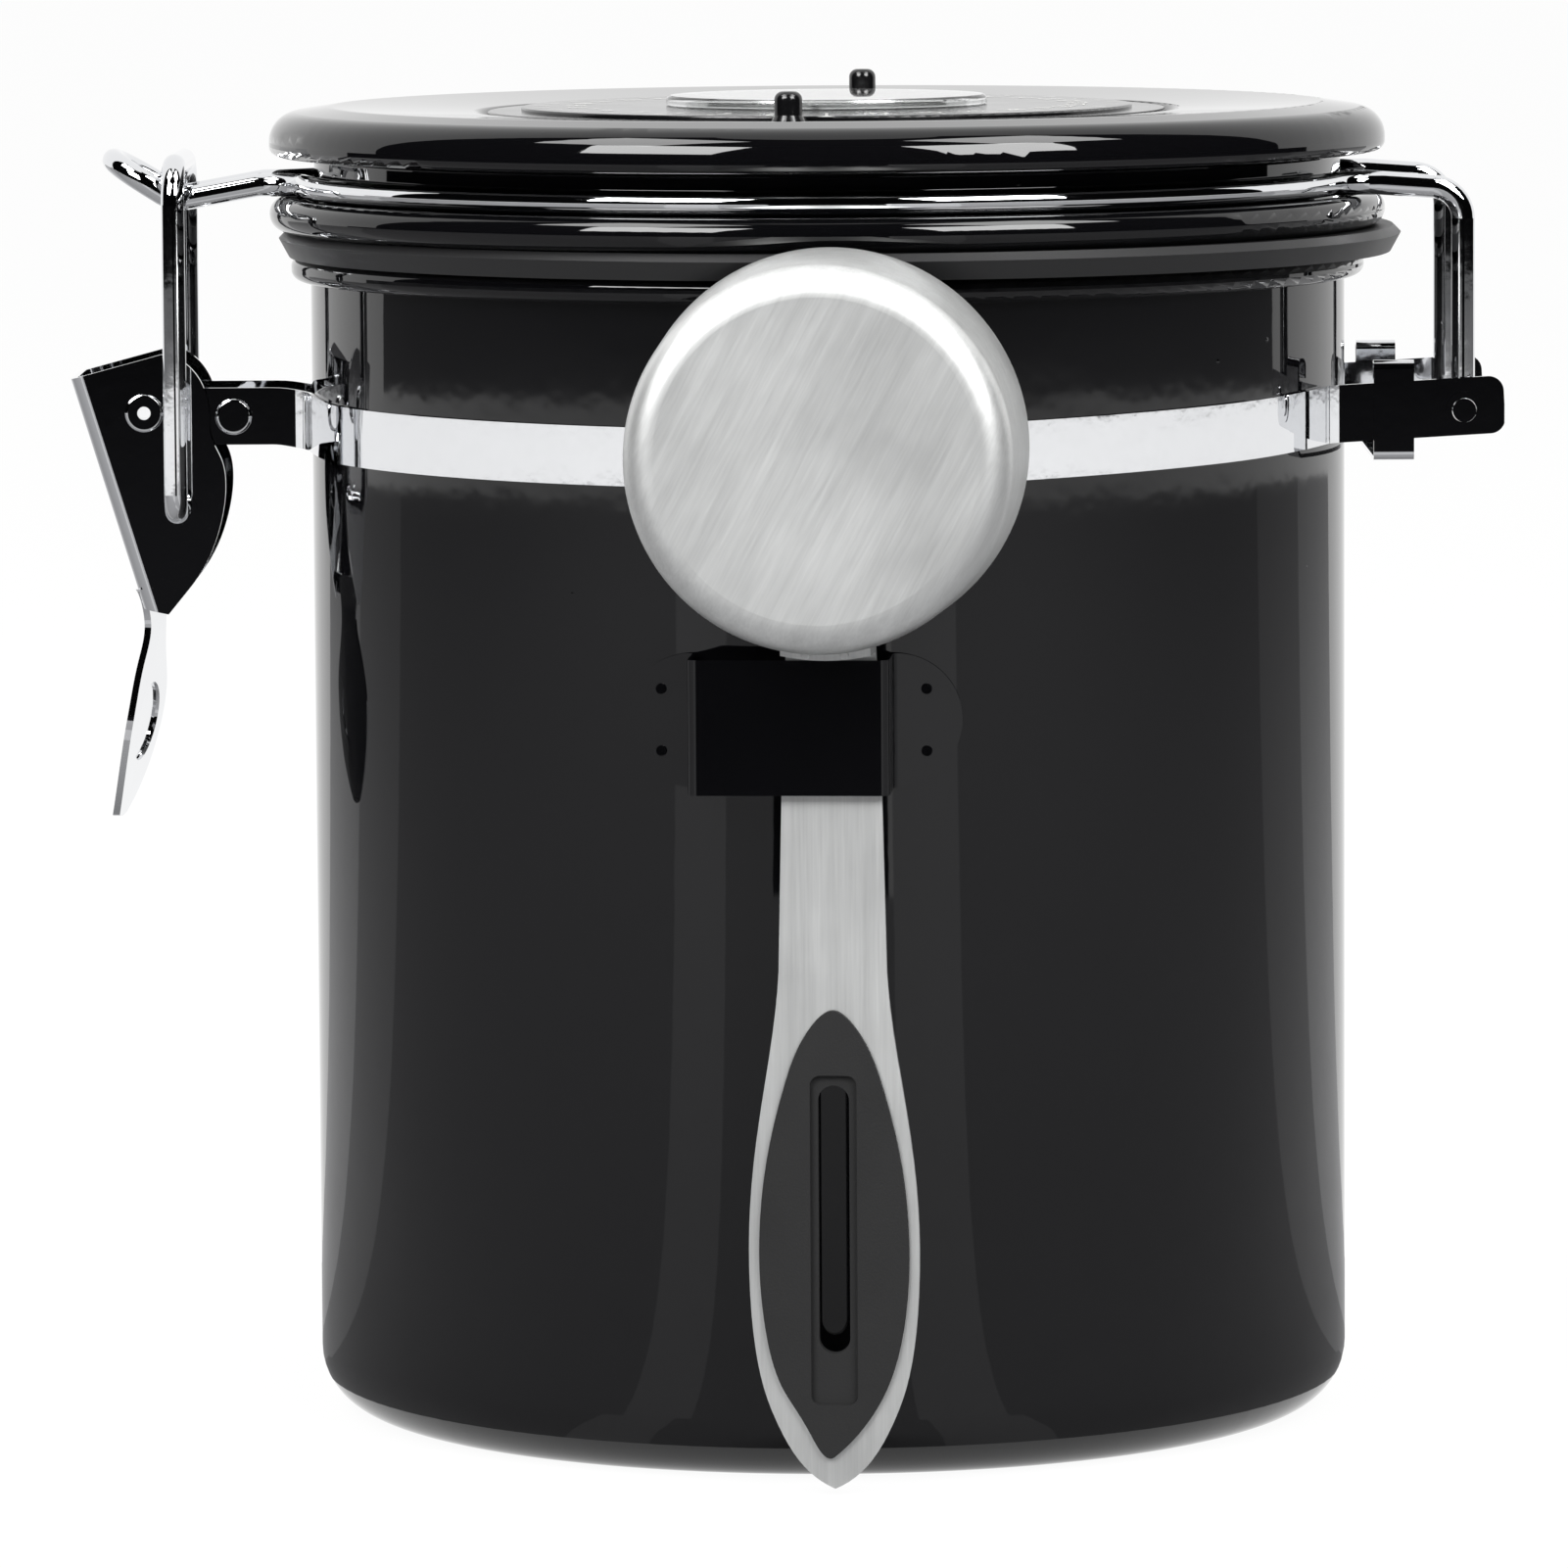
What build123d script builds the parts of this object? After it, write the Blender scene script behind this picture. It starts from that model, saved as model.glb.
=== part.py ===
from build123d import *
from math import asin, atan2, cos, radians, sin, sqrt
import os

# Coffee canister with a clamp lid, a gas valve, a date dial and a hanging scoop.
# Millimetres, +Z up, origin on the body's axis in the plane that the canister stands on.
# The latch is on the -X side, the hinge on the +X side and the scoop on the -Y side.

os.makedirs("parts", exist_ok=True)

# Clearances
touch_gap = 0.05
pin_gap = 0.06
face_gap = 0.1
cut_overrun = 1.0

# Body
body_diameter = 125.0
body_height = 140.2
body_wall = 0.8
base_corner = 7.4
bead_overhang = 2.35
bead_height = 2.8
bead_rounding = 1.2

# Clamp band: its middle line dips at the front and rises to the ears
band_thickness = 0.6
band_height = 6.85
band_drop = 20.8
band_left_rise = 0.55
band_left_share = 0.952
band_right_rise = 1.5
band_right_share = 0.8
band_step_bend = 12.0
band_sweep = 300.0
band_fold = 2.0
latch_ear_rise = 1.7
latch_step_lead = 3.5
hinge_ear_rise = 3.2
latch_ear_offset = 6.9
latch_ear_length = 22.6
hinge_ear_offset = 20.2
hinge_ear_length = 18.1
ear_corner = 1.8
eyelet_width = 0.75
eyelet_height = 0.25

# Rivets on the latch side
latch_rivet_inset = 13.4
latch_rivet_radius = 1.5
latch_rivet_head = 2.2
latch_rivet_head_height = 0.8
latch_spacer_radius = 2.5
lever_pin_inset = 2.7
lever_pin_lift = 0.55
lever_pin_radius = 1.5
lever_pin_bore = 0.8
lever_pin_head = 2.3
lever_pin_head_height = 0.7

# Wire of the lid and of the bail
wire_diameter = 2.8
wire_bend = 5.0

# Lid
lid_overhang = 2.55
lid_sheet = 1.0
gasket_height = 3.1
gasket_offset = 1.5
gasket_lip_overhang = 0.4
gasket_lip_height = 2.2
gasket_lip_slant = 1.2
gasket_lip_top = 0.9
flange_height = 4.1
flange_rounding = 1.5
pan_rounding = 0.8
neck_inset = 5.4
groove_play = 2.2
plug_clearance = 4.7
plug_depth = 4.0
lid_height = 14.15
lid_shoulder = 3.6
lid_crest_inset = 7.4
lid_crest_rise = 0.75
lid_fall = 1.0
ledge_width = 9.5
ledge_side_gap = 1.6
curl_length = 1.6
curl_rounding = 0.6
recess_rounding = 0.6

# Date dial
dial_radius = 41.0
dial_land = 4.1
dial_land_thickness = 1.0
dial_raise = 0.5
dial_edge = 0.25
dial_side_gap = 0.9
peg_radius = 1.65
peg_foot_radius = 2.0
peg_foot_height = 0.7
peg_height = 3.5
peg_rounding = 1.0
peg_angle = 83.4

# Valve
valve_bore = 6.5
stem_wall = 2.5
hub_step = 3.2
stem_gap = 0.3
stem_proud = 1.2
seat_height = 3.0
seat_thickness = 1.5
seat_hole_radius = 1.0
seat_hole_inset = 2.9
seat_hole_count = 6
flap_side_gap = 0.6
flap_thickness = 0.8
valve_lift = 0.8
stop_width = 2.1
stop_thickness = 1.0
hub_vent_width = 2.0
hub_vent_depth = 0.5
washer_thickness = 1.0
washer_width = 4.0
nut_height = 3.0
nut_width = 4.8
nut_notch_radius = 1.4
nut_notch_count = 8
nut_chamfer = 0.3
filter_thickness = 0.5
filter_cap_thickness = 1.0
filter_cap_hole_radius = 0.9
filter_cap_hole_inset = 2.5
filter_cap_count = 8
lens_radius = 19.4
lens_thickness = 1.1
lens_rise = 0.15
lens_edge = 0.6
lens_rim = 2.4
lens_plate_thickness = 0.4

# Lid wire
wire_neck_gap = 0.2
wire_seat_gap = 0.1
hinge_leg_gap = 0.3
hinge_drop = 0.45
hinge_inset = 4.8
hinge_leg_drop = 0.7
hinge_leg_bend = 3.8
hinge_end_bend = 1.8
hinge_end_proud = 0.6
nose_offset = 5.8
nose_start = 0.6
nose_lead = 0.3
nose_valley_drop = 1.85
nose_tilt = 32.0
nose_run = 3.1
nose_bend = 4.0

# Bail
bail_side_gap = 3.3
bail_top_gap = 1.55
bail_pivot_lead = 4.0
bail_pivot_drop = 11.8
bail_corner = 4.5
bail_end_bend = 2.2
bail_end_inside = 0.5
bail_collar_width = 0.8
bail_collar_height = 0.2

# Lever
lever_sheet = 0.8
lever_side_gap = 0.3
lever_fold = 1.6
lever_outward = 8.9
lever_inward = 9.7
lever_above = 7.0
lever_below = 24.4
tongue_width = 17.0
tongue_length = 25.3
tongue_skew = 8.5
dimple_width = 11.0
dimple_height = 9.5
dimple_depth = 0.4
dimple_above_tip = 11.6

# Keeper clip
clip_width = 4.8
clip_thickness = 0.5
clip_lead = 4.9
clip_above = 2.6
clip_below = 2.5
clip_hook = 1.9
clip_bend = 0.8

# Scoop and its holder
holder_angle = -3.9
holder_sheet = 0.5
holder_play = 2.6
holder_height = 15.6
holder_ear_length = 8.1
holder_fold = 0.8
weld_radius = 0.6
weld_height = 0.3
weld_spread = 3.6
scoop_offset = 4.9
bowl_radius = 22.8
bowl_base_radius = 21.9
bowl_depth = 24.5
bowl_wall = 0.8
bowl_corner = 3.6
bowl_drop = 18.8
bowl_standoff = 6.0
handle_sheet = 1.0
handle_set_back = 0.4
handle_tip_z = 0.8
neck_half = 5.15
shank_half = 5.6
leaf_half = 9.8
grip_length = 60.1
tab_thickness = 1.2
tab_length = 10.5
tab_weld_radius = 0.5
tab_weld_height = 0.3
tab_weld_spacing = 2.2
inlay_border = 1.2
inlay_proud = 0.5
inlay_tip_gap = 3.8
inlay_length = 51.9
recess_width = 5.4
recess_length = 38.4
recess_tip_gap = 9.8
recess_corner = 1.2
recess_depth = 0.6
slot_width = 3.6
slot_length = 31.2
slot_tip_gap = 15.8
strap_clearance = 0.4
seat_clearance = 0.3

# Worked out from the sizes above
body_radius = body_diameter / 2
bead_radius = body_radius + bead_overhang
wire_radius = wire_diameter / 2
lid_radius = bead_radius + lid_overhang
neck_radius = lid_radius - neck_inset
plug_radius = body_radius - body_wall - plug_clearance
lid_crest_radius = lid_radius - lid_crest_inset
ring_radius = neck_radius + wire_neck_gap + wire_radius
band_inner = body_radius + touch_gap
band_centre = band_inner + band_thickness / 2
band_middle_z = body_height - band_drop
latch_ear_end = -(body_radius + latch_ear_length)
latch_ear_z = band_middle_z + latch_ear_rise
hinge_ear_end = body_radius + hinge_ear_length
band_line = [
    (latch_ear_end, latch_ear_z),
    (-body_radius - latch_step_lead, latch_ear_z),
    (-body_radius * band_left_share, band_middle_z + band_left_rise),
    (0, band_middle_z),
    (body_radius * band_right_share, band_middle_z + band_right_rise),
    (hinge_ear_end, band_middle_z + hinge_ear_rise),
]
rivet_x = latch_ear_end + latch_rivet_inset
pin_x = latch_ear_end + lever_pin_inset
pin_z = latch_ear_z + lever_pin_lift
hinge_x = hinge_ear_end - hinge_inset
clip_x = body_radius + clip_lead
gasket_bottom = body_height
flange_bottom = gasket_bottom + gasket_height
flange_top = flange_bottom + flange_height
groove_top = flange_top + wire_diameter + groove_play
annulus_top = flange_bottom + lid_height
dial_land_top = annulus_top
dial_bottom = dial_land_top - dial_land_thickness
recess_floor = dial_bottom - face_gap
dial_top = dial_land_top + dial_raise
hub_top = dial_top + lens_rise
pan_bottom = flange_bottom - plug_depth
wire_z = flange_top + wire_radius + wire_seat_gap
hinge_leg_top = wire_z - hinge_leg_drop
ear_outer = latch_ear_offset + band_thickness / 2
ear_inner = latch_ear_offset - band_thickness / 2
lever_inner_half = ear_outer + lever_side_gap
cheek_outer = lever_inner_half + lever_sheet
stem_radius = valve_bore + stem_wall
hub_radius = stem_radius + hub_step
lens_plate_radius = lens_radius - lens_rim
bowl_centre_z = body_height - bowl_drop
bowl_mouth_y = -(body_radius + bowl_standoff)
handle_back_y = bowl_mouth_y - handle_set_back

# Cylinders and cones that stand on their lower end
upward = (Align.CENTER, Align.CENTER, Align.MIN)


def plan_fold(circle_radius, offset, bend):
    """Where a path round a circle bends outward to run along X at a distance from the X axis.

    Gives the bend's start on the straight run, its middle and its end on the circle, for the
    +X side and a positive offset.
    """
    centre_y = offset + bend
    centre_x = sqrt((circle_radius + bend) ** 2 - centre_y ** 2)
    inward = atan2(-centre_y, -centre_x)
    outward = radians(-90)
    middle = (inward + outward) / 2
    start = (centre_x, offset)
    halfway = (centre_x + bend * cos(middle), centre_y + bend * sin(middle))
    end = (centre_x + bend * cos(inward), centre_y + bend * sin(inward))
    return start, halfway, end


def hinge_ear_z(x):
    """Height of the hinge ears' middle line at a distance from the body's axis."""
    (start_x, start_z), (end_x, end_z) = band_line[-2:]
    return start_z + (end_z - start_z) * (x - start_x) / (end_x - start_x)


hinge_z = hinge_ear_z(hinge_x) - hinge_drop


# Body shell: a drawn can, open at the top, with a rolled rim
with BuildPart() as body_shell:
    with BuildSketch(Plane.XZ) as can_section:
        with BuildLine():
            Polyline(
                (0, 0),
                (body_radius, 0),
                (body_radius, body_height - bead_height),
                (bead_radius, body_height - bead_height),
                (bead_radius, body_height),
                (body_radius - body_wall, body_height),
                (body_radius - body_wall, body_wall),
                (0, body_wall),
                close=True,
            )
        make_face()
        fillet(can_section.vertices().group_by(Axis.X)[-1], bead_rounding)
        fillet(can_section.vertices().group_by(Axis.Y)[0].sort_by(Axis.X)[-1], base_corner)
        inner_floor = can_section.vertices().filter_by_position(Axis.Y, body_wall / 2, 2 * body_wall)
        fillet(inner_floor.sort_by(Axis.X)[-1], base_corner - body_wall)
    revolve(axis=Axis.Z)
body_shell.part.label = "body_shell"
export_step(body_shell.part, "parts/body_shell.step")

# Half bands: a strip round half the body whose ends are folded out into ears
latch_fold = plan_fold(band_centre, latch_ear_offset, band_fold)
hinge_fold = plan_fold(band_centre, hinge_ear_offset, band_fold)


def half_band(side):
    """One half of the clamp band: side is -1 for the front half and 1 for the rear half."""
    hole_length = band_thickness + 2 * eyelet_height + 2 * cut_overrun
    with BuildPart() as band:
        with BuildSketch(Plane.XY.offset(band_middle_z)):
            with BuildLine() as route:
                Line((latch_ear_end, side * latch_ear_offset), (-latch_fold[0][0], side * latch_fold[0][1]))
                ThreePointArc(*[(-x, side * y) for x, y in latch_fold])
                ThreePointArc(
                    (-latch_fold[2][0], side * latch_fold[2][1]),
                    (0, side * band_centre),
                    (hinge_fold[2][0], side * hinge_fold[2][1]),
                )
                ThreePointArc(*[(x, side * y) for x, y in reversed(hinge_fold)])
                Line((hinge_fold[0][0], side * hinge_fold[0][1]), (hinge_ear_end, side * hinge_ear_offset))
            trace(route.edges(), band_thickness)
        extrude(amount=band_height + hinge_ear_rise, both=True)
        with BuildSketch(Plane.XZ) as outline:
            with BuildLine() as middle_line:
                FilletPolyline(*band_line, radius=[band_step_bend, band_step_bend, band_sweep, band_sweep])
            trace(middle_line.edges(), band_height)
            corners = outline.vertices().sort_by(Axis.X)
            fillet(corners[:2] + corners[-2:], ear_corner)
        extrude(amount=2 * body_radius, both=True, mode=Mode.INTERSECT)
        ear_face = side * (hinge_ear_offset + band_thickness / 2)
        with BuildSketch(Plane((hinge_x, ear_face, hinge_z), x_dir=(1, 0, 0), z_dir=(0, side, 0))):
            Circle(wire_radius + pin_gap + eyelet_width)
        extrude(amount=eyelet_height)
        with Locations(Plane((hinge_x, side * hinge_ear_offset, hinge_z), z_dir=(0, 1, 0))):
            Cylinder(wire_radius + pin_gap, hole_length, mode=Mode.SUBTRACT)
        with Locations(Plane((pin_x, side * latch_ear_offset, pin_z), z_dir=(0, 1, 0))):
            Cylinder(lever_pin_radius + touch_gap, hole_length, mode=Mode.SUBTRACT)
        with Locations(Plane((rivet_x, side * latch_ear_offset, latch_ear_z), z_dir=(0, 1, 0))):
            Cylinder(latch_rivet_radius + touch_gap, hole_length, mode=Mode.SUBTRACT)
    return band


band_front = half_band(-1)
band_front.part.label = "band_front"
export_step(band_front.part, "parts/band_front.step")
band_rear = half_band(1)
band_rear.part.label = "band_rear"
export_step(band_rear.part, "parts/band_rear.step")

# Rivet and spacer between the latch ears
with BuildPart() as latch_rivet:
    with Locations(Plane((rivet_x, 0, latch_ear_z), z_dir=(0, 1, 0))):
        Cylinder(latch_rivet_radius, 2 * ear_outer)
    for side in (-1, 1):
        with BuildSketch(Plane((rivet_x, side * ear_outer, latch_ear_z), z_dir=(0, side, 0))):
            Circle(latch_rivet_head)
        extrude(amount=latch_rivet_head_height)
    ends = latch_rivet.faces().filter_by(Axis.Y)
    fillet(ends.sort_by(Axis.Y)[0].edges() + ends.sort_by(Axis.Y)[-1].edges(), latch_rivet_head_height / 2)
latch_rivet.part.label = "latch_rivet"
export_step(latch_rivet.part, "parts/latch_rivet.step")

with BuildPart() as latch_spacer:
    with Locations(Plane((rivet_x, 0, latch_ear_z), z_dir=(0, 1, 0))):
        Cylinder(latch_spacer_radius, 2 * ear_inner)
        Cylinder(latch_rivet_radius + touch_gap, 2 * ear_inner, mode=Mode.SUBTRACT)
latch_spacer.part.label = "latch_spacer"
export_step(latch_spacer.part, "parts/latch_spacer.step")

# Tubular pin that the lever turns on
pin_head_seat = cheek_outer + face_gap
with BuildPart() as lever_pin:
    with Locations(Plane((pin_x, 0, pin_z), z_dir=(0, 1, 0))):
        Cylinder(lever_pin_radius, 2 * pin_head_seat)
    for side in (-1, 1):
        with BuildSketch(Plane((pin_x, side * pin_head_seat, pin_z), z_dir=(0, side, 0))):
            Circle(lever_pin_head)
        extrude(amount=lever_pin_head_height)
    ends = lever_pin.faces().filter_by(Axis.Y)
    fillet(ends.sort_by(Axis.Y)[0].edges() + ends.sort_by(Axis.Y)[-1].edges(), lever_pin_head_height / 2)
    with Locations(Plane((pin_x, 0, pin_z), z_dir=(0, 1, 0))):
        Cylinder(lever_pin_bore, 2 * (pin_head_seat + lever_pin_head_height), mode=Mode.SUBTRACT)
lever_pin.part.label = "lever_pin"
export_step(lever_pin.part, "parts/lever_pin.step")

# Keeper clip: a strip folded under both hinge ears and hooked over their top edges
clip_side = hinge_ear_offset + band_thickness / 2 + touch_gap + clip_thickness / 2
clip_top_z = hinge_ear_z(clip_x) + band_height / 2 + clip_above - clip_thickness / 2
clip_bottom_z = hinge_ear_z(clip_x) - band_height / 2 - clip_below + clip_thickness / 2
hook_side = clip_side - clip_hook
hook_end_z = hinge_ear_z(clip_x + clip_width / 2) + band_height / 2 + touch_gap
with BuildPart() as keeper_clip:
    with BuildSketch(Plane.YZ.offset(clip_x - clip_width / 2)):
        with BuildLine() as strip:
            FilletPolyline(
                (-hook_side, hook_end_z),
                (-hook_side, clip_top_z),
                (-clip_side, clip_top_z),
                (-clip_side, clip_bottom_z),
                (clip_side, clip_bottom_z),
                (clip_side, clip_top_z),
                (hook_side, clip_top_z),
                (hook_side, hook_end_z),
                radius=clip_bend,
            )
        trace(strip.edges(), clip_thickness)
    extrude(amount=clip_width)
keeper_clip.part.label = "keeper_clip"
export_step(keeper_clip.part, "parts/keeper_clip.step")

# Lid base: a pressed pan with its plug, lower flange and neck
half_sheet = lid_sheet / 2
step_radius = dial_radius + dial_side_gap
cover_underside = annulus_top - lid_sheet
with BuildPart() as lid_base:
    with BuildSketch(Plane.XZ):
        with BuildLine() as pan:
            FilletPolyline(
                (stem_radius + stem_gap, pan_bottom + half_sheet),
                (plug_radius - half_sheet, pan_bottom + half_sheet),
                (plug_radius - half_sheet, flange_bottom + half_sheet),
                (lid_radius - half_sheet, flange_bottom + half_sheet),
                (lid_radius - half_sheet, flange_top - half_sheet),
                (neck_radius - half_sheet, flange_top - half_sheet),
                (neck_radius - half_sheet, groove_top + half_sheet),
                (dial_radius + ledge_width, cover_underside - half_sheet),
                (step_radius + lid_sheet + ledge_side_gap, cover_underside - half_sheet),
                radius=[
                    flange_rounding,
                    pan_rounding,
                    flange_rounding,
                    flange_rounding,
                    pan_rounding,
                    flange_rounding,
                    flange_rounding,
                ],
            )
        trace(pan.edges(), lid_sheet)
    revolve(axis=Axis.Z)
lid_base.part.label = "lid_base"
export_step(lid_base.part, "parts/lid_base.step")

# Lid cover: a pressed dome with a raised crest and a flat recess for the dial
crest_top = annulus_top + lid_crest_rise
with BuildPart() as lid_cover:
    with BuildSketch(Plane.XZ):
        with BuildLine() as dome:
            FilletPolyline(
                (stem_radius + stem_gap, recess_floor - half_sheet),
                (step_radius + half_sheet / 2, recess_floor - half_sheet),
                (step_radius + half_sheet, annulus_top - half_sheet),
                (lid_crest_radius, crest_top - half_sheet),
                (lid_radius - half_sheet, crest_top - lid_fall - half_sheet),
                (lid_radius - half_sheet, groove_top + half_sheet),
                (lid_radius - half_sheet - curl_length, groove_top + half_sheet),
                radius=[
                    recess_rounding,
                    recess_rounding,
                    lid_shoulder,
                    lid_shoulder - half_sheet,
                    curl_rounding,
                ],
            )
        trace(dome.edges(), lid_sheet)
    revolve(axis=Axis.Z)
lid_cover.part.label = "lid_cover"
export_step(lid_cover.part, "parts/lid_cover.step")

# Gasket: a loose ring round the plug with a flared lip, pushed a little toward the hinge
gasket_inner = plug_radius + gasket_offset + touch_gap
gasket_lip = lid_radius + gasket_lip_overhang
with BuildPart() as lid_gasket:
    with BuildSketch(Plane((gasket_offset, 0, 0), x_dir=(1, 0, 0), z_dir=(0, -1, 0))):
        with BuildLine():
            Polyline(
                (gasket_inner, gasket_bottom),
                (gasket_lip - gasket_lip_slant, gasket_bottom),
                (gasket_lip, gasket_bottom + gasket_lip_height),
                (gasket_lip - gasket_lip_top, flange_bottom),
                (gasket_inner + pan_rounding, flange_bottom),
                (gasket_inner, flange_bottom - pan_rounding),
                close=True,
            )
        make_face()
    revolve(axis=Axis((gasket_offset, 0, 0), (0, 0, 1)))
lid_gasket.part.label = "lid_gasket"
export_step(lid_gasket.part, "parts/lid_gasket.step")

# Lid wire: round the neck, out to the nose that the bail hooks over, and down to the hinge ears
hinge_leg_offset = hinge_ear_offset - band_thickness / 2 - hinge_leg_gap - wire_radius
wire_hinge_fold = plan_fold(ring_radius, hinge_leg_offset, wire_bend)
wire_nose_fold = plan_fold(ring_radius, nose_offset, wire_bend)
hinge_end_y = -(hinge_ear_offset + band_thickness / 2 + hinge_end_proud)
rise_start_x = wire_hinge_fold[0][0] + wire_radius
bail_pivot_x = pin_x + bail_pivot_lead
bail_pivot_z = pin_z - bail_pivot_drop
nose_valley_x = bail_pivot_x - nose_lead
nose_valley_z = wire_z - nose_valley_drop
nose_turn_x = nose_valley_x - nose_run * cos(radians(nose_tilt))
nose_turn_z = nose_valley_z + nose_run * sin(radians(nose_tilt))


def nose_point(angle):
    """A point on the nose's end bend, at an angle from the front strand round to the tip."""
    along = nose_offset * sin(radians(angle))
    across = -nose_offset * cos(radians(angle))
    tilt = radians(nose_tilt)
    return (nose_turn_x - along * cos(tilt), across, nose_turn_z + along * sin(tilt))


with BuildPart() as lid_wire:
    with BuildLine() as wire_route:
        FilletPolyline(
            (hinge_x, hinge_end_y, hinge_z),
            (hinge_x, -hinge_leg_offset, hinge_z),
            (hinge_x, -hinge_leg_offset, hinge_leg_top),
            (rise_start_x, -hinge_leg_offset, wire_z),
            (wire_hinge_fold[0][0], -hinge_leg_offset, wire_z),
            radius=[hinge_end_bend, hinge_leg_bend, wire_bend],
        )
        ThreePointArc(*[(x, -y, wire_z) for x, y in wire_hinge_fold])
        ThreePointArc(
            (wire_hinge_fold[2][0], -wire_hinge_fold[2][1], wire_z),
            (0, -ring_radius, wire_z),
            (-wire_nose_fold[2][0], -wire_nose_fold[2][1], wire_z),
        )
        ThreePointArc(*[(-x, -y, wire_z) for x, y in reversed(wire_nose_fold)])
        FilletPolyline(
            (-wire_nose_fold[0][0], -nose_offset, wire_z),
            (-wire_nose_fold[0][0] - nose_start, -nose_offset, wire_z),
            (nose_valley_x, -nose_offset, nose_valley_z),
            (nose_turn_x, -nose_offset, nose_turn_z),
            radius=[wire_bend, nose_bend],
        )
        ThreePointArc(nose_point(0), nose_point(45), nose_point(90))
    half_route = wire_route.wires()[0]
    with BuildSketch(Plane(half_route @ 0, z_dir=half_route % 0)):
        Circle(wire_radius)
    sweep(path=half_route)
    mirror(about=Plane.XZ)
lid_wire.part.label = "lid_wire"
export_step(lid_wire.part, "parts/lid_wire.step")

# Valve body: hub under the lens, stem through the lid, the flap's seat and the ring that stops its lift
washer_bottom = pan_bottom - washer_thickness
nut_bottom = washer_bottom - nut_height
stem_end = nut_bottom - stem_proud
seat_top = stem_end + seat_height
stop_bottom = seat_top + flap_thickness + valve_lift + face_gap
with BuildPart() as valve_body:
    with Locations((0, 0, recess_floor)):
        Cylinder(hub_radius, hub_top - recess_floor, align=upward)
    with Locations((0, 0, stem_end)):
        Cylinder(stem_radius, hub_top - stem_end, align=upward)
        Cylinder(valve_bore, hub_top - stem_end, align=upward, mode=Mode.SUBTRACT)
    with Locations((0, 0, seat_top - seat_thickness)):
        Cylinder(stem_radius, seat_thickness, align=upward)
        with PolarLocations(valve_bore - seat_hole_inset, seat_hole_count):
            Cylinder(seat_hole_radius, 3 * seat_thickness, mode=Mode.SUBTRACT)
    with Locations((0, 0, stop_bottom)):
        Cylinder(stem_radius, stop_thickness, align=upward)
        Cylinder(valve_bore - stop_width, stop_thickness, align=upward, mode=Mode.SUBTRACT)
    with Locations((0, 0, hub_top)):
        Box(2 * hub_radius, hub_vent_width, 2 * hub_vent_depth, mode=Mode.SUBTRACT)
        Box(hub_vent_width, 2 * hub_radius, 2 * hub_vent_depth, mode=Mode.SUBTRACT)
valve_body.part.label = "valve_body"
export_step(valve_body.part, "parts/valve_body.step")

# Valve flap: lies on the seat and lifts when gas pushes
with BuildPart() as valve_flap:
    with Locations((0, 0, seat_top)):
        Cylinder(valve_bore - flap_side_gap, flap_thickness, align=upward)
    fillet(valve_flap.edges().group_by(Axis.Z)[-1], flap_thickness / 3)
valve_flap.part.label = "valve_flap"
export_step(valve_flap.part, "parts/valve_flap.step")

# Washer and ring nut that clamp the lid together from below
with BuildPart() as valve_washer:
    with Locations((0, 0, washer_bottom)):
        Cylinder(stem_radius + washer_width, washer_thickness, align=upward)
        Cylinder(stem_radius + touch_gap, washer_thickness, align=upward, mode=Mode.SUBTRACT)
valve_washer.part.label = "valve_washer"
export_step(valve_washer.part, "parts/valve_washer.step")

nut_radius = stem_radius + nut_width
with BuildPart() as valve_nut:
    with BuildSketch(Plane.XY.offset(nut_bottom)):
        Circle(nut_radius)
        Circle(stem_radius + touch_gap, mode=Mode.SUBTRACT)
        with PolarLocations(nut_radius, nut_notch_count):
            Circle(nut_notch_radius, mode=Mode.SUBTRACT)
    extrude(amount=nut_height)
    chamfer(valve_nut.edges().filter_by(GeomType.CIRCLE).group_by(Axis.Z)[0], nut_chamfer)
valve_nut.part.label = "valve_nut"
export_step(valve_nut.part, "parts/valve_nut.step")

# Filter and its pierced cap at the stem's lower end
cap_bottom = stem_end
with BuildPart() as filter_cap:
    with Locations((0, 0, cap_bottom)):
        Cylinder(valve_bore - touch_gap, filter_cap_thickness, align=upward)
    with Locations((0, 0, cap_bottom)):
        with PolarLocations(valve_bore - filter_cap_hole_inset, filter_cap_count):
            Cylinder(filter_cap_hole_radius, 3 * filter_cap_thickness, mode=Mode.SUBTRACT)
        Cylinder(filter_cap_hole_radius, 3 * filter_cap_thickness, mode=Mode.SUBTRACT)
filter_cap.part.label = "filter_cap"
export_step(filter_cap.part, "parts/filter_cap.step")

with BuildPart() as filter_disc:
    with Locations((0, 0, cap_bottom + filter_cap_thickness)):
        Cylinder(valve_bore - touch_gap, filter_thickness, align=upward)
filter_disc.part.label = "filter_disc"
export_step(filter_disc.part, "parts/filter_disc.step")

# Bright plate and clear lens over the valve
with BuildPart() as lens_plate:
    with Locations((0, 0, hub_top)):
        Cylinder(lens_plate_radius, lens_plate_thickness, align=upward)
lens_plate.part.label = "lens_plate"
export_step(lens_plate.part, "parts/lens_plate.step")

with BuildPart() as valve_lens:
    with Locations((0, 0, hub_top)):
        Cylinder(lens_radius, lens_thickness, align=upward)
    fillet(valve_lens.edges().group_by(Axis.Z)[-1], lens_edge)
    with Locations((0, 0, hub_top)):
        Cylinder(
            lens_plate_radius + touch_gap, lens_plate_thickness + touch_gap, align=upward, mode=Mode.SUBTRACT
        )
valve_lens.part.label = "valve_lens"
export_step(valve_lens.part, "parts/valve_lens.step")

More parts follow.
